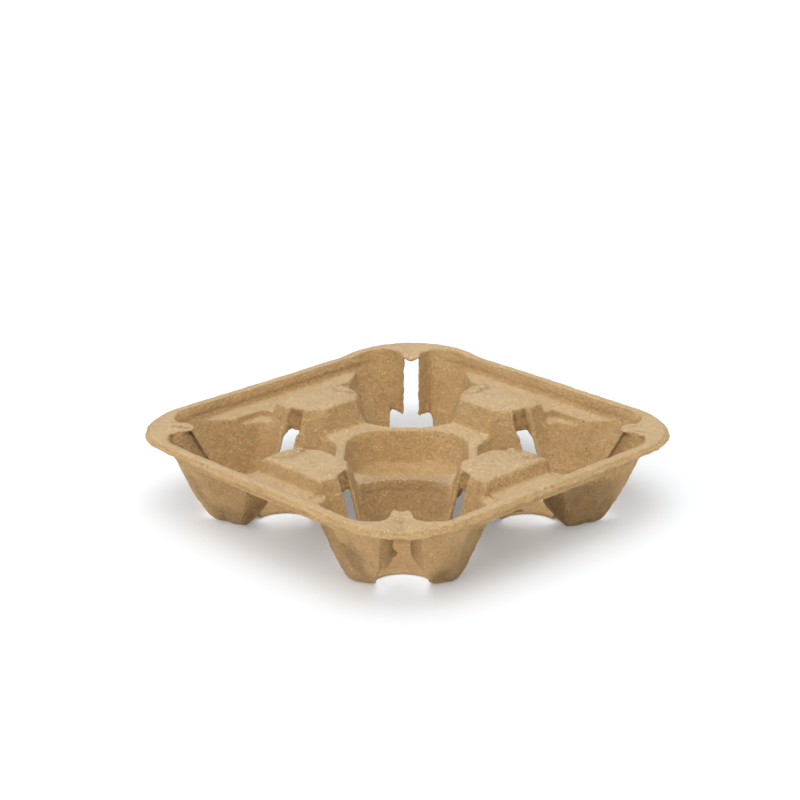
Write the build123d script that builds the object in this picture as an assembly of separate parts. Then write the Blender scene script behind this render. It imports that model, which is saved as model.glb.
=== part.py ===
from build123d import *
import math
import os

# Cup carrier moulded in one piece from paper pulp, for four cups.
# Millimetres, Z up. The origin is on the floor under the middle of the carrier,
# and the straight sides of the rim run along X and Y.

# Sheet
wall = 2.0                    # thickness of the moulded sheet

# Rim
rim_half = 108.0              # from the middle to the lower edge of the lip
rim_height = 47.8             # top of the rim
lip_depth = 4.8               # how far the lip turns down
lip_flare = 1.6               # how far the lip leans outward on the way down
lip_corner = 39.0             # corner radius of the lip
basin_half = 99.5             # inside of the rim at the level of the ledge
basin_reach = 121.3           # the same, measured along a diagonal
basin_lean = 0.25             # outward lean of the inside of the rim, per mm of height
basin_corner = 7.0            # radius where the straight side meets the corner flat
basin_low_corner = 42.0       # the same at the level of the ledge
basin_top = 49.0              # height up to which the basin is cleared

# Ledge, islands and middle plate
ledge_z = 38.5                # channel between the islands and the rim
island_z = 47.3               # top of the islands
island_foot = 82.0            # outer face of an island at the level of the ledge
island_lean = 0.37            # lean of the outer face, per mm of height
island_nose = 46.8            # inner end of an island at the level of the plate
nose_lean = 0.36              # lean of the inner end, per mm of height
plate_z = 32.5                # plate between the cups in the middle
recess_half = 32.5            # middle recess, across its flats, at the plate
recess_floor_half = 26.5      # the same at its floor
recess_z = 16.0               # upper face of the floor of the recess
recess_corner = 20.0          # corner radius of the recess at the plate

# Small shelf beside each island, on the cup side of the ledge
shelf_z = 34.5
shelf_start = 21.0
shelf_end = 40.0
shelf_edge = 89.7

# Cup pockets. Each value is given at the floor, at the ledge, at the shoulder of
# the islands and at their top, for one pocket, and is mirrored on its diagonal.
floor_z = wall
shoulder_z = 44.8
pocket_top_z = 47.55
tab_reach = (44.0, 35.8, 34.0, 32.0)      # middle of the inner wall, along the diagonal
tab_half = (11.0, 12.0, 12.0, 12.0)       # half of its flat part
tab_end_x = (24.0, 12.2, 10.2, 8.6)       # where the inner wall meets the facet
tab_end_y = (52.0, 48.3, 50.2, 53.4)
facet_end_x = (36.6, 23.0, 20.6, 14.2)    # where the facet meets the side of the island
facet_end_y = (59.8, 59.9, 60.2, 60.8)
slot_end_x = (38.2, 25.3, 22.6, 16.0)     # side of the island past the inner slot
slot_end_y = (68.5, 68.5, 68.5, 68.5)
flank_end_x = (39.2, 23.6, 22.0, 17.6)    # outer end of the side of the island
flank_end_y = (74.0, 78.0, 79.4, 79.4)
finger_x = (39.8, 25.4, 30.0, 30.0)       # start of the outer wall
finger_y = (79.0, 86.8, 90.0, 90.0)
finger_end_x = (45.0, 41.5, 44.0, 44.0)   # end of its flat part
finger_end_y = (79.6, 89.9, 92.0, 92.0)
bend_x = (49.0, 55.0, 60.0, 60.0)         # bend of the outer wall
side_y = (79.9, 98.9, 95.0, 95.0)
corner_reach = (106.4, 120.8, 117.0, 117.0)   # flat under the corner of the rim
corner_r = (8.0, 44.0, 30.0, 30.0)
foot_round = 3.0                          # round of the floor edge
foot_corner_run = 16.0                    # the same at the corner, sideways and upward
foot_corner_rise = 11.0
foot_finger_share = 0.28                  # share of it at the inner end of the outer wall

# Slots
slot_width = 8.2              # corner slot
slot_top = 45.8
slot_neck_z = 17.5            # where it starts to widen
slot_step_z = 14.5
slot_step_half = 10.2
slot_shoulder_z = 12.5
slot_shoulder_half = 11.6
slot_floor_half = 13.6
slot_outer = 127.0            # outer end of the cut, inside the lip
arch_reach = 81.6             # floor edge at the corner slot, on the diagonal
arch_side_reach = 88.7
inner_slot_start = 59.8       # inner slots, beside the islands
inner_slot_end = 67.4
inner_slot_top = 36.0
inner_slot_x = 24.0           # wall beside the slot at its top
inner_slot_lean = 0.37
slot_recess_top = 45.0        # closed upper part, set back from the wall
slot_recess_depth = 1.4
flare_z = 13.0                # height where an inner slot starts to widen
flare_low = 7.0               # height up to which it is as wide as the cut in the floor
flare_spread = 12.5           # how much further it reaches there towards the middle
flare_start = (27.0, 44.6)    # bowed edge of the floor at the inner slot
flare_bow = (41.4, 50.4)
flare_end = (44.6, 63.0)
flare_back = (18.0, 50.0)     # inner corner of the same cut, outside the pocket
slot_reach = 6.0              # how far the inner slot's cut runs past the wall

# Rib that runs inward at each corner, from the floor to the rim. The corner slot
# parts its nose. Each pair is the value at the floor and at the top of the rim.
rib_nose = (88.5, 115.0)      # reach of the nose, along the diagonal
rib_nose_half = 4.8
rib_root = (103.0, 126.0)     # where its sides end inside the wall
rib_root_half = (13.4, 11.0)
rib_back = 129.0              # end of the rib inside the rim

# Tongue over each corner slot
tongue_reach = 110.6
tongue_half = 5.4
tongue_root_half = 12.5
tongue_root = 123.5
tongue_waist = 117.4

levels = (floor_z, ledge_z, shoulder_z, pocket_top_z)
diag = math.sqrt(0.5)


def grown(points, by):
    """Move each side of a counterclockwise outline outward by one distance."""
    moved = []
    count = len(points)
    for i in range(count):
        x0, y0, _ = points[i - 1]
        x1, y1, r = points[i]
        x2, y2, _ = points[(i + 1) % count]
        ax, ay = x1 - x0, y1 - y0
        bx, by_ = x2 - x1, y2 - y1
        la, lb = math.hypot(ax, ay), math.hypot(bx, by_)
        ax, ay, bx, by_ = ax / la, ay / la, bx / lb, by_ / lb
        turn = ax * by_ - ay * bx
        k = by / (1 + ax * bx + ay * by_)
        radius = r + by if turn > 0 else max(r - by, 0.4 * r)
        radius = radius if r else 0
        moved.append((x1 + k * (ay + by_), y1 - k * (ax + bx), radius))
    return moved


def section(points, z):
    """Closed outline of lines joined by arcs, flat at one height."""
    count = len(points)
    spots = [Vector(x, y, z) for x, y, _ in points]
    halves = []
    backs = []
    for i in range(count):
        a = (spots[i - 1] - spots[i]).normalized()
        b = (spots[(i + 1) % count] - spots[i]).normalized()
        half = math.acos(max(-1, min(1, a.dot(b)))) / 2
        halves.append((a, b, half))
        backs.append(points[i][2] / math.tan(half))
    room = []
    for i in range(count):
        side = (spots[(i + 1) % count] - spots[i]).length
        taken = backs[i] + backs[(i + 1) % count]
        room.append(min(1, 0.94 * side / taken) if taken else 1)
    tangents = []
    for i in range(count):
        a, b, half = halves[i]
        back = backs[i] * min(room[i - 1], room[i])
        mid = (a + b).normalized() * (back / math.cos(half) - back * math.tan(half))
        tangents.append((spots[i] + a * back, spots[i] + mid, spots[i] + b * back))
    edges = []
    for i in range(count):
        edges.append(Edge.make_line(tangents[i - 1][2], tangents[i][0]))
        if points[i][2]:
            edges.append(Edge.make_three_point_arc(*tangents[i]))
    return Wire(edges)


def drafted(outlines, by=0.0):
    """Solid through a list of (outline, height), grown sideways by one distance."""
    return Solid.make_loft([section(grown(p, by), z) for p, z in outlines], ruled=True)


def square(half, radius, turned=0.0):
    """Outline of a square with round corners, counterclockwise."""
    c, s = math.cos(math.radians(turned)), math.sin(math.radians(turned))
    corners = [(half, -half), (half, half), (-half, half), (-half, -half)]
    return [(x * c - y * s, x * s + y * c, radius) for x, y in corners]


def cut_square(half, reach, radius):
    """Outline of a square with flat corners, counterclockwise."""
    q = reach / diag - half
    flat = [(half, q), (q, half), (-q, half), (-half, q)]
    flat = flat + [(-half, -q), (-q, -half), (q, -half), (half, -q)]
    return [(x, y, radius) for x, y in flat]


def at(values, z):
    """Value at one height, from the values at the four levels."""
    i = max(k for k in range(3) if k == 0 or z > levels[k])
    share = (z - levels[i]) / (levels[i + 1] - levels[i])
    return values[i] + share * (values[i + 1] - values[i])


def pocket_outline(z, corner_cut=0.0):
    """Outline of the pocket on the +X +Y corner at one height."""
    tab_x = (at(tab_reach, z) - at(tab_half, z)) * diag
    tab_y = (at(tab_reach, z) + at(tab_half, z)) * diag
    corner_x = (at(corner_reach, z) - corner_cut) / diag - at(side_y, z)
    finger_cut = corner_cut * foot_finger_share
    half = [
        (tab_x, tab_y, 22.0),
        (at(tab_end_x, z), at(tab_end_y, z), 0),
        (at(facet_end_x, z), at(facet_end_y, z), 0),
        (at(slot_end_x, z), at(slot_end_y, z), 0),
        (at(flank_end_x, z), at(flank_end_y, z), 0),
        (at(finger_x, z) + finger_cut / 2, at(finger_y, z) - finger_cut, 0),
        (at(finger_end_x, z), at(finger_end_y, z) - finger_cut / 2, 0),
        (at(bend_x, z), at(side_y, z), 0),
        (corner_x, at(side_y, z), at(corner_r, z)),
    ]
    mirrored = [(y, x, r) for x, y, r in half[::-1]]
    return (half + mirrored)[::-1]


def slot_x(z):
    """Wall of the island beside the inner slot at one height."""
    return inner_slot_x + inner_slot_lean * (inner_slot_top - z)


def inner_slot(z0, z1, inward, outward, by=0.0):
    """Upright bar along an island's wall, leaning with it."""
    x0 = slot_x(z0) - inward - by
    x1 = slot_x(z0) + outward + by
    y0 = inner_slot_start - by
    y1 = inner_slot_end + by
    turn = slot_end_x[1] - facet_end_x[1]
    corners = [(x0, y0), (x1, y0), (x1 + turn, y1), (x0 + turn, y1)]
    face = Face(Polyline(*[(x, y, z0) for x, y in corners], close=True))
    return Solid.extrude(face, Vector(-inner_slot_lean * (z1 - z0), 0, z1 - z0))


def pocket(by):
    """Space of one cup pocket and its slot recess, grown by one distance."""
    radius = foot_round + by
    low = floor_z - by
    outlines = []
    start = math.radians(20)
    for angle in (start, math.pi / 2):
        z = low + radius * (math.cos(start) - math.cos(angle))
        inset = radius * (1 - math.sin(angle))
        up = 1 - (z - low) / foot_corner_rise
        corner_inset = foot_corner_run * (1 - math.sqrt(1 - up * up))
        cut = max(0, corner_inset - inset)
        outlines.append((grown(pocket_outline(z, cut), -inset), z))
    outlines.append((pocket_outline(low + foot_corner_rise), low + foot_corner_rise))
    for z in levels[1:]:
        outlines.append((pocket_outline(z), z))
    back = inner_slot(inner_slot_top - 6, slot_recess_top, slot_recess_depth, slot_reach, by)
    return [drafted(outlines, by), back]


def corner_rib(by):
    """Rib of a corner, drawn along X and turned to the diagonal."""
    outlines = []
    for z in (-5.0, rim_height - by):
        share = z / rim_height
        nose = rib_nose[0] + share * (rib_nose[1] - rib_nose[0])
        root = rib_root[0] + share * (rib_root[1] - rib_root[0])
        half = rib_root_half[0] + share * (rib_root_half[1] - rib_root_half[0])
        outlines.append(([
            (nose, -rib_nose_half, 0), (root, -half, 0), (rib_back, -half, 0),
            (rib_back, half, 0), (root, half, 0), (nose, rib_nose_half, 0),
        ], z))
    return drafted(outlines, -by).rotate(Axis.Z, 45)


def around(shape):
    """The shape at all four corners or sides."""
    return [shape.rotate(Axis.Z, 90 * k) for k in range(4)]


def both(shape):
    """The shape and its mirror image on the other side of the Y axis."""
    return [shape, mirror(shape, Plane.YZ)]


def under_surface(by):
    """Everything under the sheet's upper face, or its lower face when grown by the wall."""
    lip_z = rim_height - lip_depth
    if by:
        lean = lip_flare * (1 - by / lip_depth)
        body = Pos(0, 0, lip_z / 2 - 2.5) * Box(3 * rim_half, 3 * rim_half, lip_z + 5)
        body += drafted([
            (square(rim_half, lip_corner), lip_z),
            (square(rim_half - lean, lip_corner + 1.7), rim_height - by),
        ], -by)
    else:
        body = drafted([
            (square(rim_half, lip_corner), -5),
            (square(rim_half, lip_corner), lip_z),
            (square(rim_half - lip_flare, lip_corner + 1.7), rim_height),
        ])

    rise = basin_top - ledge_z
    low = basin_lean * by
    basin = drafted([
        (cut_square(basin_half - low, basin_reach - low, basin_low_corner), ledge_z - by),
        (cut_square(basin_half + basin_lean * rise, basin_reach + basin_lean * rise / 2,
                    basin_corner), basin_top),
    ], by)
    body -= basin

    low = plate_z - by
    top = island_z - by
    islands = drafted([
        (square(island_foot - by + island_lean * (ledge_z - low), 6), low),
        (square(island_foot - by - island_lean * (top - ledge_z), 6), top),
    ])
    ribs = Box(56, 240, 110) + Box(240, 56, 110)
    body += islands & ribs
    body -= drafted([
        (square(island_nose, 3), low),
        (square(island_nose + nose_lean * (basin_top - low), 3), basin_top),
    ], by)

    body -= drafted([
        (square(recess_floor_half, recess_corner - 4, 45), recess_z - by),
        (square(recess_half, recess_corner, 45), plate_z),
        (square(recess_half + 2, recess_corner, 45), plate_z + 6),
    ], by)
    cup, back = pocket(by)
    for tool in (cup, back):
        body -= around(tool)
    body -= around(mirror(back, Plane.YZ))

    reach = shelf_edge - 80 + 2 * by
    shelf = Box(shelf_end - shelf_start + 2 * by, reach, 20)
    shelf = Pos((shelf_end + shelf_start) / 2, 80 - by + reach / 2, shelf_z - by + 10) * shelf
    for tool in both(shelf):
        body -= around(tool)
    return body + around(corner_rib(by))


upper = under_surface(0.0)
lower = under_surface(wall)
sheet = upper - lower

# Corner slots with the arch in the floor, drawn along X and turned to the diagonal.
half = slot_width / 2
profile = Polyline(
    (0, -half, slot_top), (0, -half, slot_neck_z), (0, -slot_step_half, slot_step_z),
    (0, -slot_shoulder_half, slot_shoulder_z), (0, -slot_floor_half, -1),
    (0, slot_floor_half, -1), (0, slot_shoulder_half, slot_shoulder_z),
    (0, slot_step_half, slot_step_z), (0, half, slot_neck_z), (0, half, slot_top),
    close=True,
)
bar = Solid.extrude(Face(profile), Vector(slot_outer, 0, 0))
arch = ThreePointArc((arch_side_reach, -slot_floor_half), (arch_reach, 0),
                     (arch_side_reach, slot_floor_half))
plan = Polyline((arch_side_reach, slot_floor_half), (slot_outer, slot_floor_half),
                (slot_outer, -slot_floor_half), (arch_side_reach, -slot_floor_half))
plan = Face(Wire([arch, *plan.edges()]))
slot = (bar & Solid.extrude(plan, Vector(0, 0, 60)).moved(Pos(0, 0, -2))).rotate(Axis.Z, 45)
sheet -= around(slot)

# Inner slots, widened low down and open to a bowed edge of the floor.
bow = ThreePointArc(flare_start, flare_bow, flare_end)
flank = (slot_x(0) - slot_reach, flare_end[1])
rest = Polyline(flare_end, flank, flare_back, flare_start)
floor_cut = Solid.extrude(Face(Wire([bow, *rest.edges()])), Vector(0, 0, flare_low + wall))
floor_cut = floor_cut.moved(Pos(0, 0, -wall))


def flare_outline(z, spread):
    """Plan of the widened part of an inner slot at one height."""
    near = slot_x(z) - slot_reach
    far = slot_x(z) + slot_reach
    start = inner_slot_start - spread
    end = inner_slot_end
    return section([(near, start, 0), (far, start, 0), (far, end, 0), (near, end, 0)], z)


side_cut = Solid.make_loft([
    flare_outline(flare_low - 1, flare_spread),
    flare_outline(flare_z, 0),
], ruled=True)
upright = inner_slot(-1, inner_slot_top, slot_reach, slot_reach)
for tool in (upright, side_cut, floor_cut):
    for side in both(tool):
        sheet -= around(side)

# Tongues
tongue = [
    (tongue_root, -tongue_root_half, 0.5), (tongue_root + 6, -tongue_root_half, 0.5),
    (tongue_root + 6, tongue_root_half, 0.5), (tongue_root, tongue_root_half, 0.5),
    (tongue_waist, tongue_half, 4), (tongue_reach, tongue_half, tongue_half - 0.2),
    (tongue_reach, -tongue_half, tongue_half - 0.2), (tongue_waist, -tongue_half, 4),
]
pad = drafted([(tongue, rim_height - wall), (tongue, rim_height)]).rotate(Axis.Z, 45)
sheet += around(pad)

os.makedirs("parts", exist_ok=True)
export_step(sheet, "parts/carrier_tray.step")
print(sheet.is_valid, sheet.volume, len(sheet.solids()), len(sheet.faces()), sheet.bounding_box())
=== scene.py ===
"""Looks of a cup carrier moulded from paper pulp.

The carrier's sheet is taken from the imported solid, remeshed evenly, softened as a
wet-moulded sheet is, and then shaped in detail with numpy: crowned islands, domed
tongues, pressed lines, wrinkled feet, torn slot edges and the grain of the pulp.
Everything is in metres in the row frame; lengths in the shaping classes are in
millimetres, because the carrier was measured in millimetres.
"""

import logging
import math
from dataclasses import dataclass, field
from enum import Enum, IntEnum

import bpy
import numpy as np
from mathutils import Matrix, Vector


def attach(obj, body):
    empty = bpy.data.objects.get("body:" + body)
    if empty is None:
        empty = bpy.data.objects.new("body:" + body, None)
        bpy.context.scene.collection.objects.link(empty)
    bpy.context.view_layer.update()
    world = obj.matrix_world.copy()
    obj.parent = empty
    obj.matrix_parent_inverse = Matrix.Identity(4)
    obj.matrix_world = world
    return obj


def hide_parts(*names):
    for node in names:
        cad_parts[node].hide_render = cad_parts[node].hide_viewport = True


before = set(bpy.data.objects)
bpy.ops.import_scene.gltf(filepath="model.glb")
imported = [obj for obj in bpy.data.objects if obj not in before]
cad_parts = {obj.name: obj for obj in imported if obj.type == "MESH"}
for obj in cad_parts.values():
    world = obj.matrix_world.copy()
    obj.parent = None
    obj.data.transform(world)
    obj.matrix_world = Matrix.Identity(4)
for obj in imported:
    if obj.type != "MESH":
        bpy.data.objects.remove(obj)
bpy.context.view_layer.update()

LOG = logging.getLogger("carrier")
MM = 0.001
NODE = "carrier_tray"

Array = np.ndarray
Colour = tuple[float, float, float]
Socket = bpy.types.NodeSocket
Input = Socket | float | tuple


class Corner(Enum):
    """The four corners of the rim, by the angle of their diagonal in degrees."""

    NEAR = -45.0
    RIGHT = 45.0
    FAR = 135.0
    LEFT = 225.0


class Pattern(IntEnum):
    """What is added to the seed for each noise pattern."""

    RIM_LINE = 3
    ISLAND_LUMP = 5
    LUMP_DENT = 6
    ISLAND_CREASE = 7
    FOLD = 21
    PATCH = 23
    BARK = 27
    TEAR = 31
    SHOULDER = 35
    LIP = 41
    LUMP = 51
    CLUMP = 53
    MEMBRANE = 61
    WARP = 100


@dataclass(frozen=True)
class PulpFinish:
    """Colours and surface values of unbleached paper pulp, linear RGB.

    The shares say how strongly each mark tints the pulp, and the heights how much
    each texture adds to the relief, whose unit is relief in metres. Some colours
    stand in for light: a paler colour is painted as a highlight on upward faces and
    outward edges, and the fleck and dark colours also serve as painted shade.
    """

    light: Colour = (0.735, 0.470, 0.200)
    mid: Colour = (0.650, 0.395, 0.152)
    # Darker tone of the pulp; also the colour of the painted shade in the bark's creases.
    dark: Colour = (0.360, 0.195, 0.062)
    # Dark flecks; also the colour of the painted shade from the shaper's marks.
    fleck_and_shade: Colour = (0.180, 0.095, 0.038)
    fibre: Colour = (0.820, 0.650, 0.420)
    # Paler colour painted as a highlight on upward faces and outward edges.
    painted_highlight: Colour = (0.880, 0.685, 0.430)
    torn: Colour = (0.430, 0.235, 0.080)
    roughness: float = 0.80
    blotch_share: float = 0.30
    speckle_share: float = 0.48
    pale_share: float = 0.26
    long_fibre_share: float = 0.15
    fine_fibre_share: float = 0.14
    spot_share: float = 0.55
    painted_highlight_share: float = 0.36
    torn_share: float = 0.75
    shade_share: float = 0.65
    # How strongly painted shade darkens the bark's creases.
    bark_shade_share: float = 0.36
    specular: float = 0.35
    sheen: float = 0.08
    sheen_roughness: float = 0.45
    relief: float = 0.0012
    grain_height: float = 0.35
    pit_height: float = 0.9
    fibre_height: float = 0.22
    bark_height: float = 7.0


@dataclass(frozen=True)
class GrainScales:
    """Scales of the pulp's textures, in cells per metre."""

    cloud: float = 38.0
    blotch: float = 190.0
    speckle: float = 900.0
    pale: float = 1150.0
    long_fibres: float = 620.0
    fine_fibres: float = 1500.0
    spots: float = 210.0
    ridges: float = 520.0
    grain: float = 1300.0
    pits: float = 420.0


@dataclass(frozen=True)
class StudioLook:
    """Light and floor of a plain white product shot.

    Attributes:
        dome: Strength of the world's light.
        dome_colour: Colour of the world's light.
        lamps: Strength, width in degrees and the direction that the light travels,
            for each lamp.
        floor_colour: Tint of the floor that the camera sees.
        bounce_colour: Colour of the floor for every other ray.
        floor_glow: Strength of the white glow that the camera sees on the floor.
        floor_share: Share of the floor's tint that the camera sees beside the glow.
        floor_half: Half the floor's width in metres.
        floor_drop: How far the floor lies below the feet, in metres.
    """

    dome: float = 0.46
    dome_colour: Colour = (0.99, 1.0, 1.01)
    lamps: tuple = (
        (0.95, 75.0, (0.0, 0.0, -1.0)),
        (1.05, 40.0, (-0.38, 0.36, -1.0)),
        (0.95, 50.0, (-0.10, 0.78, -0.45)),
    )
    floor_colour: Colour = (0.920, 0.955, 0.990)
    bounce_colour: Colour = (0.980, 0.960, 0.930)
    floor_glow: float = 0.22
    floor_share: float = 0.79
    floor_half: float = 6.0
    floor_drop: float = 0.0001


@dataclass(frozen=True)
class PhotoCamera:
    """The photograph's camera, found from the rim and the feet.

    Attributes:
        picture: Width of the photograph in pixels.
        focal: Focal length in pixels.
        sensor: Width of the sensor in millimetres.
        near: Nearest distance seen, in metres.
        far: Farthest distance seen, in metres.
        right: The picture's direction to the right, in the row frame.
        up: The picture's upward direction.
        back: The direction from the object to the camera.
        place: The camera's place in metres.
    """

    picture: float = 800.0
    focal: float = 2131.45
    sensor: float = 36.0
    near: float = 0.05
    far: float = 50.0
    right: tuple = (0.6888494, 0.72487079, -0.00698852)
    up: tuple = (-0.24591925, 0.24274584, 0.93840193)
    back: tuple = (0.68191659, -0.64469899, 0.34547501)
    place: tuple = (0.75010692, -0.71370214, 0.4426988)


def smoothstep(low: float, high: float, x: Array) -> Array:
    """Smooth ramp from 0 at low to 1 at high.

    Args:
        low: Start of the ramp.
        high: End of the ramp.
        x: Array of values.

    Returns:
        Array of weights between 0 and 1.
    """
    t = np.clip((x - low) / (high - low), 0.0, 1.0)
    return t * t * (3.0 - 2.0 * t)


def bump(x: Array, centre: float, half: float) -> Array:
    """Round hump that is 1 at centre and 0 beyond half away from it."""
    t = np.clip(1.0 - ((x - centre) / half) ** 2, 0.0, None)
    return t * t


def lattice_hash(ix: Array, iy: Array, iz: Array, seed: int) -> Array:
    """Repeatable pseudo-random value from -1 to 1 for each lattice corner."""
    h = ix * 374761393 + iy * 668265263 + iz * 2147483647 + seed * 974634777
    h = h & 0xFFFFFFFF
    h = ((h ^ (h >> 13)) * 1274126177) & 0xFFFFFFFF
    h = h ^ (h >> 16)
    return h.astype(np.float64) / 2147483647.5 - 1.0


def value_noise(points: Array, size: float | tuple, seed: int) -> Array:
    """Smooth noise in space.

    Args:
        points: Array (n, 3) in mm.
        size: Length of one lattice cell in mm, one number or three.
        seed: Whole number that picks the pattern.

    Returns:
        Array (n,) between -1 and 1.
    """
    q = points / np.asarray(size, float)
    base = np.floor(q).astype(np.int64)
    f = q - base
    f = f * f * f * (f * (f * 6.0 - 15.0) + 10.0)
    total = np.zeros(len(points))
    for dx in (0, 1):
        wx = f[:, 0] if dx else 1.0 - f[:, 0]
        for dy in (0, 1):
            wy = f[:, 1] if dy else 1.0 - f[:, 1]
            for dz in (0, 1):
                wz = f[:, 2] if dz else 1.0 - f[:, 2]
                corner = base + (dx, dy, dz)
                total += wx * wy * wz * lattice_hash(*corner.T, seed)
    return total


def layered_noise(points: Array, size: float | tuple, seed: int, layers: int,
                  fall: float = 0.5) -> Array:
    """Sum of value noises, each half the size of the last and weaker by fall."""
    total = np.zeros(len(points))
    gain = 1.0
    for k in range(layers):
        total += gain * value_noise(points, np.asarray(size, float) / 2**k, seed + 17 * k)
        gain *= fall
    return total


class SheetMesh:
    """A triangle or quad mesh held as numpy arrays, in mm.

    Args:
        points: Array (n, 3).
        loops: Vertex index of each face corner.
        starts: First loop of each face.
        totals: Number of corners of each face.
    """

    def __init__(self, points: Array, loops: Array, starts: Array, totals: Array):
        self.points = points
        self.loops = loops
        self.starts = starts
        self.totals = totals
        self.edges = self._find_edges()

    @classmethod
    def from_mesh(cls, mesh: bpy.types.Mesh) -> "SheetMesh":
        """Read a Blender mesh whose coordinates are in metres."""
        points = np.empty(len(mesh.vertices) * 3, np.float32)
        mesh.vertices.foreach_get("co", points)
        loops = np.empty(len(mesh.loops), np.int32)
        mesh.loops.foreach_get("vertex_index", loops)
        starts = np.empty(len(mesh.polygons), np.int32)
        mesh.polygons.foreach_get("loop_start", starts)
        totals = np.empty(len(mesh.polygons), np.int32)
        mesh.polygons.foreach_get("loop_total", totals)
        return cls(points.reshape(-1, 3).astype(np.float64) / MM, loops, starts, totals)

    def _find_edges(self) -> Array:
        """Every face side once, as pairs of vertex indices."""
        following = np.arange(len(self.loops)) + 1
        ends = self.starts + self.totals - 1
        following[ends] = self.starts
        pairs = np.stack([self.loops, self.loops[following]], axis=1)
        pairs.sort(axis=1)
        return np.unique(pairs, axis=0)

    def neighbour_mean(self, values: Array) -> Array:
        """Mean of each vertex's neighbours, for an array (n, columns)."""
        a, b = self.edges[:, 0], self.edges[:, 1]
        count = np.bincount(a, minlength=len(values))
        count += np.bincount(b, minlength=len(values))
        total = np.empty_like(values)
        for k in range(values.shape[1]):
            total[:, k] = np.bincount(a, values[b, k], len(values))
            total[:, k] += np.bincount(b, values[a, k], len(values))
        return total / np.maximum(count, 1)[:, None]

    def relax(self, rounds: int, strength: float) -> None:
        """Round the sheet's edges by moving vertices towards their neighbours.

        Args:
            rounds: Number of passes.
            strength: Share of the way moved in each pass; below 0 it moves outwards.
        """
        for _ in range(rounds):
            self.points += strength * (self.neighbour_mean(self.points) - self.points)

    def firm(self, rounds: int, inwards: float = 0.55, outwards: float = -0.50) -> None:
        """Even out the mesh with little shrinking, by passes in and out again.

        Args:
            rounds: Number of pairs of passes.
            inwards: Strength of the pass towards the neighbours.
            outwards: Strength of the pass away from them.
        """
        for _ in range(rounds):
            self.relax(1, inwards)
            self.relax(1, outwards)

    def normals(self) -> Array:
        """Unit normal of each vertex, from its quads' diagonals or triangles' sides."""
        p = self.points
        first = self.loops[self.starts]
        second = self.loops[self.starts + 1]
        third = self.loops[self.starts + 2]
        last = self.loops[self.starts + self.totals - 1]
        face = np.cross(p[third] - p[first], p[last] - p[second])
        tri = self.totals == 3
        face[tri] = np.cross(p[second[tri]] - p[first[tri]], p[third[tri]] - p[first[tri]])
        result = np.zeros_like(p)
        face_of = np.repeat(np.arange(len(self.starts)), self.totals)
        for k in range(3):
            result[:, k] = np.bincount(self.loops, face[face_of, k], len(p))
        length = np.linalg.norm(result, axis=1)
        return result / np.maximum(length, 1e-12)[:, None]

    def to_object(self, name: str, marks: dict[str, Array]) -> bpy.types.Object:
        """Make a Blender object from the arrays, in metres.

        Args:
            name: Name of the object.
            marks: Arrays (n,) kept as attributes, by name.

        Returns:
            The new object, linked to the scene.
        """
        mesh = bpy.data.meshes.new(name)
        mesh.vertices.add(len(self.points))
        mesh.vertices.foreach_set("co", (self.points * MM).astype(np.float32).ravel())
        mesh.loops.add(len(self.loops))
        mesh.loops.foreach_set("vertex_index", self.loops)
        mesh.polygons.add(len(self.starts))
        mesh.polygons.foreach_set("loop_start", self.starts)
        mesh.update(calc_edges=True)
        for key, values in marks.items():
            layer = mesh.attributes.new(key, "FLOAT", "POINT")
            layer.data.foreach_set("value", np.clip(values, 0.0, 1.0).astype(np.float32))
        mesh.validate()
        mesh.shade_smooth()
        obj = bpy.data.objects.new(name, mesh)
        bpy.context.scene.collection.objects.link(obj)
        return obj


@dataclass(frozen=True)
class CarrierForm:
    """Heights and lines of the carrier that the shaping follows, in mm."""

    island_inner: float = 52.0
    island_outer: float = 78.8
    island_half: float = 18.0
    slot_top: float = 36.0
    slot_half: float = 24.0
    lean: float = 0.37
    rim_z: float = 47.8
    proud: float = 1.2

    def slot_x(self, z: Array) -> Array:
        """Distance of the island's wall from its middle line at each height."""
        return self.slot_half + self.lean * (self.slot_top - z)


@dataclass(frozen=True)
class MarkDepths:
    """How far each mark of moulding, drying or tearing moves the sheet, in mm."""

    crown: float = 0.55
    island_lump: float = 1.7
    lump_dent: float = 1.0
    island_crease: float = 0.42
    rim_line: float = 0.30
    foot_fold: float = 0.34
    foot_bark: float = 0.34
    near_toe: float = 2.4
    side_toe: float = -1.9
    near_foot_fill: float = 2.8
    flap: float = 2.3
    tear: float = 0.42
    shoulder_tear: float = 0.9
    side_neck: float = 2.2
    membrane_fold: float = 0.75
    membrane_sink: float = 0.9
    far_membrane: float = 2.4
    near_shelf: float = 2.8
    tongue_shoulder: float = 0.9
    tongue_dome: float = 2.3
    tongue_crease: float = 0.8
    tab_crease: float = 0.30
    lip_wave: float = 0.45
    lumps: float = 0.12
    clumps: float = 0.15
    warp: float = 0.22


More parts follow.
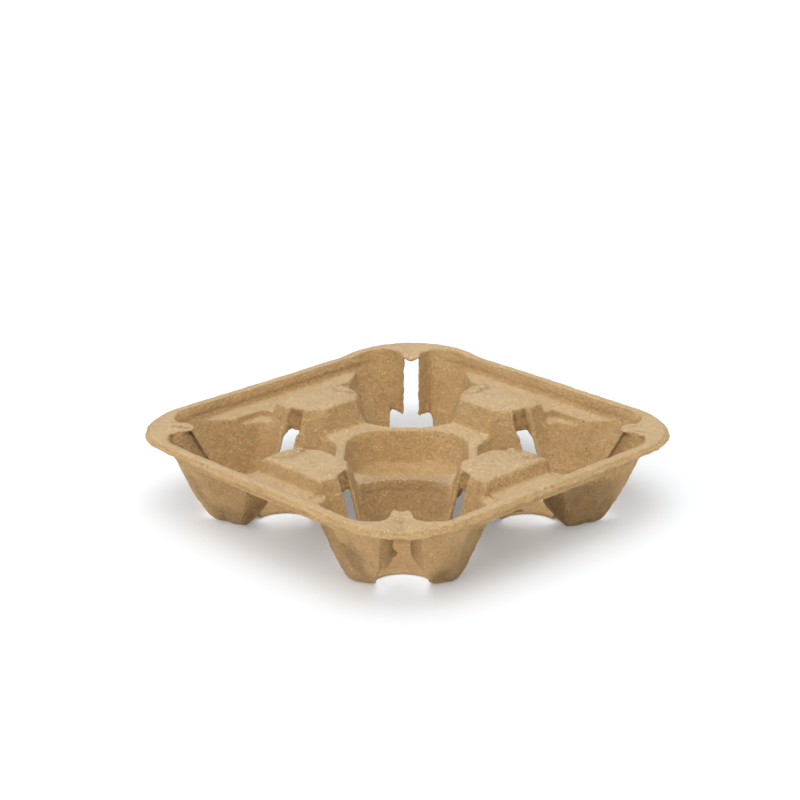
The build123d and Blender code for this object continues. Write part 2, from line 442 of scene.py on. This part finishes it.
@dataclass
class PulpShaper:
    """Moves the vertices of the sheet to give it the marks of moulding and drying.

    Attributes:
        sheet: The mesh to shape.
        form: Heights and lines of the carrier.
        depth: How far each mark moves the sheet.
        seed: Whole number for every noise pattern.

    The limits of bands and the sizes of noise in the methods are in mm. z is a view
    of the vertices' heights, so it follows every change of them.
    """

    sheet: SheetMesh
    form: CarrierForm = field(default_factory=CarrierForm)
    depth: MarkDepths = field(default_factory=MarkDepths)
    seed: int = 11

    def __post_init__(self) -> None:
        count = len(self.sheet.points)
        self.normal = self.sheet.normals()
        self.out = np.zeros(count)
        self.torn = np.zeros(count)
        self.shade = np.zeros(count)
        self.bark = np.zeros(count)
        # Painted highlight: faces that look upwards, above 20 mm, get a paler colour where light
        # falls on the tops.
        upward = smoothstep(0.45, 0.95, self.normal[:, 2])
        self.painted_highlight = upward * smoothstep(20.0, 26.0, self.p[:, 2])

    @property
    def p(self) -> Array:
        """Vertex positions, (n, 3) in mm."""
        return self.sheet.points

    def noise(self, size: float | tuple, pattern: Pattern, layers: int,
              fall: float = 0.5) -> Array:
        """Layered noise of one pattern at the vertices."""
        return layered_noise(self.p, size, self.seed + pattern, layers, fall)

    def raise_by(self, amount: Array) -> None:
        """Move the vertices upwards."""
        self.sheet.points[:, 2] += amount

    def darken(self, amount: Array) -> None:
        """Let the painted shade reach at least this amount at each vertex."""
        self.shade = np.maximum(self.shade, amount)

    def side_axes(self) -> tuple[Array, Array]:
        """Coordinates folded on the carrier's symmetry.

        Returns:
            Tuple (u, v): distance from the nearest island's middle line, and
            distance from the middle of the carrier along that line.
        """
        a = np.abs(self.p[:, 0])
        b = np.abs(self.p[:, 1])
        return np.minimum(a, b), np.maximum(a, b)

    def corner_axes(self, corner: Corner) -> tuple[Array, Array]:
        """Coordinates along and across the diagonal of one corner.

        Args:
            corner: The corner.

        Returns:
            Tuple (t, w): distance outwards along the diagonal and across it.
        """
        angle = math.radians(corner.value)
        t = self.p[:, 0] * math.cos(angle) + self.p[:, 1] * math.sin(angle)
        w = -self.p[:, 0] * math.sin(angle) + self.p[:, 1] * math.cos(angle)
        return t, w

    def mark_edges(self) -> None:
        """Painted highlight on outward edges and painted shade in sharp inward corners."""
        lift = ((self.p - self.sheet.neighbour_mean(self.p)) * self.sheet.normals()).sum(axis=1)
        for _ in range(3):
            lift = self.sheet.neighbour_mean(lift[:, None])[:, 0]
        self.painted_highlight = np.maximum(self.painted_highlight, 0.75 * smoothstep(0.025, 0.10, lift))
        self.darken(0.45 * smoothstep(0.025, 0.10, -lift))

    def marks(self) -> dict[str, Array]:
        """Arrays that the material reads, by name."""
        return {"torn": self.torn, "shade": self.shade, "painted_highlight": self.painted_highlight, "bark": self.bark}

    def warp(self) -> None:
        """Let the whole sheet sag and twist a little, both faces together."""
        for k in range(3):
            drift = value_noise(self.p, 46.0, self.seed + Pattern.WARP + k)
            above = smoothstep(1.0, 9.0, self.p[:, 2])
            self.sheet.points[:, k] += self.depth.warp * drift * above

    def press_islands(self) -> None:
        """Crown the islands and leave creases and a lump at one end of each top, with painted
        shade on the lump's edge and dents.
        """
        u, v = self.side_axes()
        x, y, z = self.p.T
        on_top = smoothstep(44.2, 46.6, z) * (v < 84)
        across = bump(u, 0.0, self.form.island_half + 3)
        middle = 0.5 * (self.form.island_inner + self.form.island_outer)
        along = bump(v, middle, 17.5)
        crown = self.depth.crown * across * along
        away = np.where(np.abs(x) < np.abs(y), x < 0, y > 0)
        level = bump(u, 16.5, 8.5) * bump(v, 67.5, 13.0)
        level += 0.16 * self.noise((4.0, 4.0, 30.0), Pattern.ISLAND_LUMP, 2)
        lump = away * smoothstep(0.26, 0.42, level)
        dent = bump(self.noise((5.0, 5.0, 30.0), Pattern.LUMP_DENT, 2), 0.0, 0.16)
        crown += lump * (self.depth.island_lump - self.depth.lump_dent * dent)
        self.darken(0.40 * on_top * away * bump(level, 0.30, 0.10))
        self.darken(0.30 * on_top * lump * dent)
        crease = np.abs(self.noise((7.0, 7.0, 14.0), Pattern.ISLAND_CREASE, 2))
        crease = (1.0 - smoothstep(0.0, 0.16, crease)) * across * along
        self.raise_by(on_top * (crown - self.depth.island_crease * crease - 0.25))
        self.sheet.points[:, 2] = np.minimum(z, self.form.rim_z + self.form.proud)

    def press_lines(self) -> None:
        """Faint moulded line round the rim wall."""
        z = self.p[:, 2]
        _, v = self.side_axes()
        wall = smoothstep(97.0, 99.0, v) * (1.0 - smoothstep(102.5, 104.0, v))
        wobble = 0.5 * self.noise((18.0, 18.0, 60.0), Pattern.RIM_LINE, 1)
        line = bump(z + wobble, 43.2, 1.3) - 0.6 * bump(z + wobble, 41.2, 1.2)
        self.out += self.depth.rim_line * line * wall

    def wrinkle_feet(self) -> None:
        """Wrinkles on the outside of the cup pockets, rough as bark in places."""
        z = self.p[:, 2]
        u, v = self.side_axes()
        low = smoothstep(0.5, 4.0, z) * (1.0 - smoothstep(24.0, 34.0, z))
        outside = smoothstep(68.0, 74.0, v) * smoothstep(26.0, 32.0, u)
        outside *= smoothstep(0.10, -0.10, self.normal[:, 2])
        facing = outside * (1.0 - smoothstep(58.0, 70.0, u))
        folds = self.noise((3.2, 3.2, 9.0), Pattern.FOLD, 3, 0.6)
        bark = 1.0 - 2.0 * np.abs(self.noise((4.6, 4.6, 5.4), Pattern.BARK, 2, 0.6))
        patch = smoothstep(-0.3, 0.35, self.noise(22.0, Pattern.PATCH, 1))
        folds = folds - 0.25 * np.abs(folds)
        self.out += low * outside * patch * self.depth.foot_fold * folds
        self.out += low * facing * (0.4 + 0.6 * patch) * self.depth.foot_bark * bark
        # The bark mask also tells the material where to paint shade in the ridges' creases.
        self.bark = low * (facing * (0.30 + 0.70 * patch) + 0.20 * outside * patch)

    def round_feet(self) -> None:
        """Lift the near foot's toe and fill the toes of the feet at the sides."""
        z = self.p[:, 2]
        side = self.depth.side_toe
        lift = {Corner.NEAR: self.depth.near_toe, Corner.LEFT: side, Corner.RIGHT: side}
        for corner, amount in lift.items():
            t, w = self.corner_axes(corner)
            toe = bump(t, 99.5, 8.0) * (1.0 - smoothstep(20.0, 27.0, np.abs(w)))
            move = amount * toe * (1.0 - smoothstep(7.0, 14.0, z))
            self.raise_by(np.maximum(move, -0.75 * np.clip(z, 0, None)))

    def trim_feet(self) -> None:
        """Slant the feet's ends beside the side openings and fill out the near foot."""
        u, v = self.side_axes()
        z = self.p[:, 2]
        reach = smoothstep(62.0, 66.0, v) * smoothstep(28.0, 32.0, u)
        lowest = np.clip((76.6 - 0.84 * u - 0.543 * v) * 0.85, 0.0, 8.0) * reach
        share = np.clip(1.0 - z / 16.0, 0.0, 1.0)
        near = self.p[:, 0] - self.p[:, 1] > 100.0
        self.raise_by(np.where(near, 0.5, 1.0) * lowest * share)
        t, w = self.corner_axes(Corner.NEAR)
        fill = self.depth.near_foot_fill * bump(np.abs(w), 27.0, 9.0) * bump(t, 90.0, 10.0)
        self.raise_by(-np.minimum(fill * smoothstep(15.0, 8.0, z), 0.8 * z))

    def push_across(self, corner: Corner, amount: Array) -> None:
        """Move vertices across one corner's diagonal, towards +w."""
        angle = math.radians(corner.value)
        self.sheet.points[:, 0] -= math.sin(angle) * amount
        self.sheet.points[:, 1] += math.cos(angle) * amount

    def fit_slots(self) -> None:
        """Move the shoulders of the near and the far slot and bend the near flap.

        The shoulders are the upper edges of a slot's wide foot. Their moves are
        given as pairs of (distance across, height moved).
        """
        shoulders = {
            Corner.NEAR: ((-12, 0.8), (-10, -0.2), (-7, -1.0), (-4, 0.8),
                          (4, 1.6), (7, 0.0), (10, 0.6), (12, 1.6)),
            Corner.FAR: ((-12, 0.6), (-9, 0.0), (-5, -1.1), (4, -1.3),
                         (6, -0.6), (8.5, 1.6), (12, 2.6), (13, 1.2)),
        }
        z = self.p[:, 2]
        for corner, line in shoulders.items():
            t, w = self.corner_axes(corner)
            place, rise = np.array(line).T
            lift = np.interp(w, place, rise) * (1.0 - smoothstep(12.0, 17.0, np.abs(w)))
            reach = smoothstep(84.0, 88.0, t) * smoothstep(5.0, 11.0, z)
            self.raise_by(lift * reach * (1.0 - smoothstep(19.0, 32.0, z)))
        t, w = self.corner_axes(Corner.NEAR)
        flap = bump(z, 20.6, 2.4) * np.exp(-np.clip(np.abs(w) - 4.0, 0, None) / 1.6)
        self.push_across(Corner.NEAR, self.depth.flap * flap * (w < 0) * (t > 92))

    def fray_slots(self) -> None:
        """Tear the slots' edges unevenly and narrow the necks of those at the sides, painting
        shade on the necks.
        """
        z = self.p[:, 2]
        for k, corner in enumerate(Corner):
            t, w = self.corner_axes(corner)
            reach = smoothstep(90.0, 95.0, t) * (1.0 - smoothstep(126.0, 130.0, t))
            near = np.exp(-np.clip(np.abs(w) - 4.0, 0.0, None) / 2.2) * reach
            near *= 1.0 - smoothstep(44.0, 45.8, z)
            side = np.sign(w)
            tear = layered_noise(np.stack([side * 9.0 + 40 * k, z, z * 0.31], 1),
                                 (1.0, 3.2, 5.0), self.seed + Pattern.TEAR, 3, 0.6)
            self.push_across(corner, self.depth.tear * tear * near)
            low = reach * bump(np.abs(w), 8.0, 6.0) * bump(z, 15.5, 6.0)
            ragged = layered_noise(np.stack([w, z * 0.3, t * 0.2], 1),
                                   (2.6, 5.0, 9.0), self.seed + Pattern.SHOULDER + k, 3, 0.6)
            self.raise_by(self.depth.shoulder_tear * ragged * low)
            self.torn = np.maximum(self.torn, near * 0.9)
            if corner in (Corner.LEFT, Corner.RIGHT):
                neck = near * smoothstep(16.0, 19.0, z)
                self.push_across(corner, -self.depth.side_neck * side * neck)
                # Painted shade on the narrowed necks, where the slot's gap lies in shadow.
                self.darken(neck)

    def press_membranes(self) -> None:
        """Wrinkle the closed upper part of the inner slots and sink its edges."""
        z = self.p[:, 2]
        a, b = np.abs(self.p[:, 0]), np.abs(self.p[:, 1])
        u, v = self.side_axes()
        inset = u - self.form.slot_x(z)
        height = smoothstep(34.6, 36.2, z) * (1.0 - smoothstep(44.0, 46.2, z))
        width = smoothstep(58.6, 60.6, v) * (1.0 - smoothstep(66.6, 68.6, v))
        skin = height * width
        skin *= smoothstep(-6.0, -4.0, inset) * (1.0 - smoothstep(2.0, 4.0, inset))
        folds = self.noise((3.0, 3.0, 2.6), Pattern.MEMBRANE, 3, 0.65)
        rims = bump(v, 60.2, 1.3) + bump(v, 67.0, 1.3)
        move = skin * (self.depth.membrane_fold * folds - 0.2)
        move -= height * rims * self.depth.membrane_sink * (np.abs(inset + 1.5) < 4.5)
        self.sheet.points[:, 0] += np.where(a < b, np.sign(self.p[:, 0]) * move, 0.0)
        self.sheet.points[:, 1] += np.where(a < b, 0.0, np.sign(self.p[:, 1]) * move)
        self.torn = np.maximum(self.torn, skin)

    def lower_far_membranes(self) -> None:
        """Let the closed part reach lower in the two slots that face the sides."""
        x, y, z = self.p.T
        u, v = self.side_axes()
        far = ((x < -40) & (y < 0) & (y > x)) | ((y > 40) & (x > 0) & (x < y))
        near = smoothstep(57.0, 59.0, v) * (1.0 - smoothstep(68.0, 70.0, v))
        inset = u - self.form.slot_x(z)
        near *= smoothstep(-6.0, -4.0, inset) * (inset < 5)
        band = smoothstep(32.0, 34.0, z) * (1.0 - smoothstep(37.0, 44.0, z))
        self.raise_by(-self.depth.far_membrane * far * near * band)

    def fill_near_shelves(self) -> None:
        """Fill the shelves beside the two near islands, which show none."""
        x, y, z = self.p.T
        u, v = self.side_axes()
        near = ((x > 60) & (np.abs(y) < x)) | ((y < -60) & (np.abs(x) < -y))
        shelf = smoothstep(19.0, 22.0, u) * (1.0 - smoothstep(40.0, 44.0, u))
        shelf *= smoothstep(76.0, 79.0, v) * (1.0 - smoothstep(90.0, 96.0, v))
        level = smoothstep(28.0, 32.0, z) * (1.0 - smoothstep(35.2, 38.8, z))
        self.raise_by(self.depth.near_shelf * near * shelf * level)

    def shape_tongues(self) -> None:
        """Dome the near tongue, fold the ones at the sides and bend the far one."""
        z = self.p[:, 2]
        top = smoothstep(45.0, 46.5, z)
        shapes = {Corner.NEAR: self.dome_tongue, Corner.FAR: self.bend_tongue}
        for corner in Corner:
            t, w = self.corner_axes(corner)
            shoulder = bump(t, 119.0, 5.0) * bump(np.abs(w), 9.0, 4.2)
            shoulder *= smoothstep(42.0, 46.0, z)
            self.raise_by(-self.depth.tongue_shoulder * shoulder)
            shapes.get(corner, self.fold_tongue)(t, w, top)

    def dome_tongue(self, t: Array, w: Array, top: Array) -> None:
        """Dome on the near tongue, with a curved crease behind it."""
        crease = bump(t + 0.05 * w * w, 121.3, 1.5)
        crease *= np.clip(1.0 - (w / 7.0) ** 2, 0, None)
        dome = np.clip(1.0 - (w / 5.8) ** 4, 0.0, None) * bump(t, 114.0, 6.4)
        self.raise_by(top * (self.depth.tongue_dome * dome - self.depth.tongue_crease * crease))

    def bend_tongue(self, t: Array, w: Array, top: Array) -> None:
        """Tip of the far tongue bent down to a point."""
        bend = np.clip((118.0 - t) / 7.0, 0.0, 1.0)
        point = np.clip(1.0 - np.abs(w) / 5.0, 0.0, 1.0)
        self.raise_by(-top * bend * (1.0 + 1.6 * point * bend))

    def fold_tongue(self, t: Array, w: Array, top: Array) -> None:
        """Two folds along a tongue at the side, which is squeezed thinner, with painted shade in
        the folds.
        """
        line = 1.2 + 0.5 * np.sin(t * 0.55)
        valley = np.exp(-((w - line) / 0.9) ** 2) * bump(t, 118.0, 8.0)
        ridge = np.exp(-((w - line + 2.6) / 1.5) ** 2) * bump(t, 117.0, 8.0)
        second = np.exp(-((w + 5.5 + 0.25 * (t - 120)) / 0.7) ** 2) * bump(t, 120.5, 5.0)
        within = np.clip(1.0 - (w / 6.4) ** 2, 0.0, None)
        self.raise_by(top * (0.8 * ridge - 1.5 * valley - 0.6 * second))
        self.raise_by(-0.5 * top * bump(t, 112.0, 6.0) * within)
        self.darken(top * (valley + 0.6 * second))

    def crease_tab(self) -> None:
        """Wavy crease on the inner wall of the near pocket, with painted shade over the wall."""
        t, w = self.corner_axes(Corner.NEAR)
        z = self.p[:, 2]
        wall = smoothstep(33.0, 34.0, t) * (1.0 - smoothstep(47.0, 49.0, t)) * (np.abs(w) < 22)
        line = 27.6 + 0.45 * np.sin(w * 0.55) + 0.25 * np.sin(w * 1.7 + 1.0)
        groove = np.exp(-((z - line) / 0.8) ** 2) * wall * smoothstep(22.0, 17.0, np.abs(w))
        self.out -= self.depth.tab_crease * groove
        # Painted shade over the near pocket's inner wall, stronger along the crease.
        self.darken(wall * (0.38 + 0.3 * groove))

    def roughen_lip(self) -> None:
        """Uneven lower edge of the lip."""
        z = self.p[:, 2]
        _, v = self.side_axes()
        r = np.hypot(self.p[:, 0], self.p[:, 1])
        on_lip = smoothstep(103.8, 105.5, np.maximum(v, r * 0.79))
        edge = on_lip * (1.0 - smoothstep(43.3, 46.0, z)) * (z > 41)
        wave = self.noise((9.0, 9.0, 60.0), Pattern.LIP, 3, 0.6)
        self.raise_by(self.depth.lip_wave * wave * edge)

    def grain(self) -> None:
        """Lumps and fibre clumps over the whole sheet."""
        lumps = self.depth.lumps * self.noise(8.0, Pattern.LUMP, 2, 0.55)
        clumps = self.depth.clumps * self.noise(2.6, Pattern.CLUMP, 2, 0.6)
        self.out += (lumps + clumps) * smoothstep(0.4, 2.0, self.p[:, 2])

    def finish(self) -> None:
        """Apply everything that moves along the normals."""
        LOG.info("largest push along the normal: %.2f mm", float(np.abs(self.out).max()))
        self.sheet.points += self.normal * self.out[:, None]
        self.out[:] = 0.0


class NodeGraph:
    """Short way to build shader nodes.

    Args:
        tree: A material's or group's node tree.
    """

    def __init__(self, tree: bpy.types.NodeTree):
        self.tree = tree

    def add(self, kind: str, inputs: dict | None = None, **settings) -> bpy.types.Node:
        """Add a node, set its fields, and set or link its inputs.

        Args:
            kind: Blender's node type.
            inputs: Input name or index to value or output socket.
            settings: Fields of the node.

        Returns:
            The new node.
        """
        node = self.tree.nodes.new(kind)
        for key, value in settings.items():
            setattr(node, key, value)
        for key, value in (inputs or {}).items():
            socket = node.inputs[key]
            if isinstance(value, Socket):
                self.tree.links.new(value, socket)
            else:
                socket.default_value = value
        return node

    def math(self, operation: str, a: Input, b: Input = 0.0) -> Socket:
        """Math node; returns its output."""
        return self.add("ShaderNodeMath", {0: a, 1: b}, operation=operation).outputs[0]

    def ramp(self, value: Input, low: float, high: float, out_low: float = 0.0,
             out_high: float = 1.0) -> Socket:
        """Smooth map range; returns its output."""
        inputs = {"Value": value, "From Min": low, "From Max": high}
        inputs |= {"To Min": out_low, "To Max": out_high}
        node = self.add("ShaderNodeMapRange", inputs, interpolation_type="SMOOTHSTEP")
        return node.outputs[0]

    def mix(self, share: Input, a: Input, b: Input) -> Socket:
        """Colour mix; returns the colour output."""
        return self.add("ShaderNodeMix", {0: share, 6: a, 7: b}, data_type="RGBA").outputs[2]

    def noise(self, vector: Socket, scale: float, detail: float, rough: float,
              warp: float = 0.0) -> Socket:
        """Noise texture; returns its factor output."""
        inputs = {"Vector": vector, "Scale": scale, "Detail": detail}
        inputs |= {"Roughness": rough, "Distortion": warp}
        return self.add("ShaderNodeTexNoise", inputs).outputs["Fac"]


def rgba(colour: Colour) -> tuple[float, float, float, float]:
    """RGB tuple with full opacity added."""
    return (*colour, 1.0)


def fibre_group() -> bpy.types.NodeTree:
    """Node group of short crossing fibres.

    Returns:
        The group, with a Fibres output from 0 to 1.
    """
    group = bpy.data.node_groups.new("Pulp fibres", "ShaderNodeTree")
    group.interface.new_socket("Vector", in_out="INPUT", socket_type="NodeSocketVector")
    group.interface.new_socket("Scale", in_out="INPUT", socket_type="NodeSocketFloat")
    group.interface.new_socket("Fibres", in_out="OUTPUT", socket_type="NodeSocketFloat")
    g = NodeGraph(group)
    source = g.add("NodeGroupInput")
    target = g.add("NodeGroupOutput")
    spread = {0: source.outputs["Vector"], "Scale": source.outputs["Scale"]}
    scaled = g.add("ShaderNodeVectorMath", spread, operation="SCALE").outputs[0]
    total = None
    turns = ((0.3, 0.1, 0.4), (1.2, 0.7, 2.0), (2.1, 1.5, 0.9), (0.8, 2.4, 1.6))
    for turn in turns:
        turned = g.add("ShaderNodeVectorRotate", {"Vector": scaled, "Rotation": turn},
                       rotation_type="EULER_XYZ").outputs[0]
        stretched = g.add("ShaderNodeVectorMath", {0: turned, 1: (0.16, 1.0, 1.0)},
                          operation="MULTIPLY").outputs[0]
        streak = g.noise(stretched, 1.0, 2.0, 0.55, 0.6)
        line = g.ramp(g.math("ABSOLUTE", g.math("SUBTRACT", streak, 0.5)), 0.0, 0.035, 1.0, 0.0)
        total = line if total is None else g.math("MAXIMUM", total, line)
    group.links.new(total, target.inputs["Fibres"])
    return group


def pulp_material(finish: PulpFinish, scale: GrainScales) -> bpy.types.Material:
    """Material of the moulded pulp.

    Args:
        finish: Colours and surface values.
        scale: Scales of the textures.

    Returns:
        The material.
    """
    material = bpy.data.materials.new("Moulded pulp")
    material.use_nodes = True
    tree = material.node_tree
    tree.nodes.clear()
    g = NodeGraph(tree)
    place = g.add("ShaderNodeTexCoord").outputs["Object"]
    shader = g.add("ShaderNodeBsdfPrincipled")
    output = g.add("ShaderNodeOutputMaterial", {"Surface": shader.outputs[0]})
    output.is_active_output = True
    fibres_tree = fibre_group()

    def fibres(cells: float) -> Socket:
        """Mask of the fibres at one scale."""
        node = g.add("ShaderNodeGroup", node_tree=fibres_tree)
        tree.links.new(place, node.inputs["Vector"])
        node.inputs["Scale"].default_value = cells
        return node.outputs["Fibres"]

    def mark(name: str) -> Socket:
        """One of the arrays that the shaper left on the mesh."""
        return g.add("ShaderNodeAttribute", attribute_name=name).outputs["Fac"]

    cloud = g.noise(place, scale.cloud, 4.0, 0.6)
    blotch = g.noise(place, scale.blotch, 3.0, 0.6, 0.4)
    speckle = g.noise(place, scale.speckle, 2.0, 0.6)
    pale = g.noise(place, scale.pale, 2.0, 0.6)
    long_fibres = fibres(scale.long_fibres)
    cells = g.add("ShaderNodeTexVoronoi", {"Vector": place, "Scale": scale.spots}, feature="F1")
    chance = g.add("ShaderNodeSeparateColor", {0: cells.outputs["Color"]}).outputs[0]
    spot = g.math("MULTIPLY", g.ramp(cells.outputs["Distance"], 0.06, 0.16, 1.0, 0.0),
                  g.ramp(chance, 0.80, 0.84))
    bark = mark("bark")
    ridge = g.math("SUBTRACT", g.noise(place, scale.ridges, 3.0, 0.6, 0.6), 0.5)
    ridge = g.math("ABSOLUTE", ridge)
    # Painted shade: the creases between the bark's ridges get darker.
    crease = g.math("MULTIPLY", g.ramp(ridge, 0.0, 0.06, 1.0, 0.0), bark)

    colour = g.mix(g.ramp(cloud, 0.35, 0.66), rgba(finish.mid), rgba(finish.light))
    for mask, share, paint in (
        (g.ramp(blotch, 0.50, 0.74), finish.blotch_share, finish.dark),
        (g.ramp(speckle, 0.52, 0.72), finish.speckle_share, finish.dark),
        (g.ramp(pale, 0.52, 0.72), finish.pale_share, finish.fibre),
        (long_fibres, finish.long_fibre_share, finish.fibre),
        (fibres(scale.fine_fibres), finish.fine_fibre_share, finish.dark),
        (spot, finish.spot_share, finish.fleck_and_shade),
        # Painted highlight on upward faces and outward edges.
        (mark("painted_highlight"), finish.painted_highlight_share, finish.painted_highlight),
        (mark("torn"), finish.torn_share, finish.torn),
        # Painted shade from the shaper: folds, dents, inward corners, slot necks and the near
        # pocket's inner wall.
        (mark("shade"), finish.shade_share, finish.fleck_and_shade),
        # Painted shade in the bark's creases.
        (crease, finish.bark_shade_share, finish.dark),
    ):
        colour = g.mix(g.math("MULTIPLY", mask, share), colour, rgba(paint))
    tree.links.new(colour, shader.inputs["Base Color"])

    rough = g.ramp(blotch, 0.3, 0.7, finish.roughness - 0.08, finish.roughness + 0.05)
    tree.links.new(rough, shader.inputs["Roughness"])
    shader.inputs["Specular IOR Level"].default_value = finish.specular
    shader.inputs["Sheen Weight"].default_value = finish.sheen
    shader.inputs["Sheen Roughness"].default_value = finish.sheen_roughness

    height = g.math("MULTIPLY", g.noise(place, scale.grain, 3.0, 0.65), finish.grain_height)
    for mask, rise in (
        (g.noise(place, scale.pits, 3.0, 0.6), finish.pit_height),
        (long_fibres, finish.fibre_height),
        (g.math("MULTIPLY", ridge, bark), finish.bark_height),
    ):
        height = g.math("ADD", height, g.math("MULTIPLY", mask, rise))
    relief = {"Strength": 1.0, "Distance": finish.relief, "Height": height}
    normal = g.add("ShaderNodeBump", relief).outputs[0]
    tree.links.new(normal, shader.inputs["Normal"])
    return material


@dataclass
class PulpTray:
    """The moulded sheet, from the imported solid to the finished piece.

    Attributes:
        node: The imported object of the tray.
        finish: Colours and surface values of the pulp.
        scale: Scales of the pulp's textures.
        voxel: Size of the even mesh in mm.
        triangles: Most triangles of the finished piece.
    """

    node: bpy.types.Object
    finish: PulpFinish = field(default_factory=PulpFinish)
    scale: GrainScales = field(default_factory=GrainScales)
    voxel: float = 0.85
    triangles: int = 190000

    def even_mesh(self) -> SheetMesh:
        """Remesh a copy of the solid evenly, as arrays."""
        copy = bpy.data.objects.new("even", self.node.data.copy())
        bpy.context.scene.collection.objects.link(copy)
        remesh = copy.modifiers.new("Even", "REMESH")
        remesh.mode = "VOXEL"
        remesh.voxel_size = self.voxel * MM
        graph = bpy.context.evaluated_depsgraph_get()
        mesh = bpy.data.meshes.new_from_object(copy.evaluated_get(graph))
        sheet = SheetMesh.from_mesh(mesh)
        spare = copy.data
        bpy.data.objects.remove(copy)
        bpy.data.meshes.remove(spare)
        bpy.data.meshes.remove(mesh)
        LOG.info("even mesh: %d vertices, %d faces", len(sheet.points), len(sheet.starts))
        return sheet

    def build(self) -> bpy.types.Object:
        """Shape the sheet.

        Returns:
            The finished object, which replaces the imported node.
        """
        sheet = self.even_mesh()
        sheet.relax(3, 0.5)
        sheet.firm(4)
        shaper = PulpShaper(sheet)
        shaper.press_islands()
        shaper.press_lines()
        shaper.wrinkle_feet()
        shaper.crease_tab()
        shaper.grain()
        shaper.finish()
        shaper.round_feet()
        shaper.trim_feet()
        shaper.press_membranes()
        shaper.fit_slots()
        shaper.lower_far_membranes()
        shaper.fill_near_shelves()
        shaper.shape_tongues()
        shaper.fray_slots()
        shaper.roughen_lip()
        shaper.warp()
        shaper.mark_edges()
        sheet.points[:, 2] = np.maximum(sheet.points[:, 2], 0.0)
        obj = sheet.to_object("pulp_tray", shaper.marks())
        count = int((sheet.totals - 2).sum())
        if count > self.triangles:
            thin = obj.modifiers.new("Fewer triangles", "DECIMATE")
            thin.ratio = self.triangles / count
        obj.data.materials.append(pulp_material(self.finish, self.scale))
        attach(obj, "root")
        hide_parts(NODE)
        return obj


@dataclass
class Studio:
    """Floor, light and camera of the shot.

    Attributes:
        look: Light and floor values.
        view: The photograph's camera.
    """

    look: StudioLook = field(default_factory=StudioLook)
    view: PhotoCamera = field(default_factory=PhotoCamera)

    def floor(self) -> None:
        """White floor that reaches past the picture.

        The camera sees a tinted floor with a weak glow, which is white where no
        shadow falls. Every other ray meets a plain floor without glow, so that the
        floor gives the object no more light than paper would.
        """
        look = self.look
        half = look.floor_half
        mesh = bpy.data.meshes.new("floor")
        corners = [(-half, -half, 0.0), (half, -half, 0.0), (half, half, 0.0), (-half, half, 0.0)]
        mesh.from_pydata(corners, [], [(0, 1, 2, 3)])
        obj = bpy.data.objects.new("floor", mesh)
        obj.location.z = -look.floor_drop
        bpy.context.scene.collection.objects.link(obj)
        material = bpy.data.materials.new("White floor")
        material.use_nodes = True
        tree = material.node_tree
        tree.nodes.clear()
        g = NodeGraph(tree)
        plain = g.add("ShaderNodeBsdfDiffuse", {"Color": rgba(look.bounce_colour)}).outputs[0]
        seen_colour = rgba(tuple(look.floor_share * c for c in look.floor_colour))
        seen = g.add("ShaderNodeBsdfDiffuse", {"Color": seen_colour}).outputs[0]
        glow = g.add("ShaderNodeEmission", {"Strength": look.floor_glow}).outputs[0]
        bright = g.add("ShaderNodeAddShader", {0: seen, 1: glow}).outputs[0]
        ray = g.add("ShaderNodeLightPath").outputs["Is Camera Ray"]
        both = g.add("ShaderNodeMixShader", {0: ray, 1: plain, 2: bright}).outputs[0]
        g.add("ShaderNodeOutputMaterial", {"Surface": both})
        mesh.materials.append(material)

    def light(self) -> None:
        """Even dome and soft lamps from above, the camera's side and the near left."""
        world = bpy.data.worlds.new("Studio")
        bpy.context.scene.world = world
        world.use_nodes = True
        back = world.node_tree.nodes["Background"]
        back.inputs["Color"].default_value = rgba(self.look.dome_colour)
        back.inputs["Strength"].default_value = self.look.dome
        for k, (energy, width, direction) in enumerate(self.look.lamps):
            sun = bpy.data.lights.new(f"Lamp {k + 1}", "SUN")
            sun.energy = energy
            sun.angle = math.radians(width)
            obj = bpy.data.objects.new(sun.name, sun)
            obj.rotation_euler = Vector(direction).to_track_quat("-Z", "Y").to_euler()
            bpy.context.scene.collection.objects.link(obj)

    def camera(self) -> None:
        """Camera at the photograph's place."""
        view = self.view
        cam = bpy.data.cameras.new("Camera")
        cam.sensor_width = view.sensor
        cam.lens = view.sensor * view.focal / view.picture
        cam.clip_start = view.near
        cam.clip_end = view.far
        turn = Matrix((view.right, view.up, view.back)).transposed().to_4x4()
        turn.translation = Vector(view.place)
        obj = bpy.data.objects.new("Camera", cam)
        obj.matrix_world = turn
        bpy.context.scene.collection.objects.link(obj)
        bpy.context.scene.camera = obj

    def build(self) -> None:
        """Set up the whole studio."""
        self.floor()
        self.light()
        self.camera()
        bpy.context.scene.view_settings.view_transform = "Standard"


def main() -> None:
    """Build the scene."""
    logging.basicConfig(level=logging.INFO)
    PulpTray(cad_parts[NODE]).build()
    Studio().build()


if __name__ == "__main__":
    main()
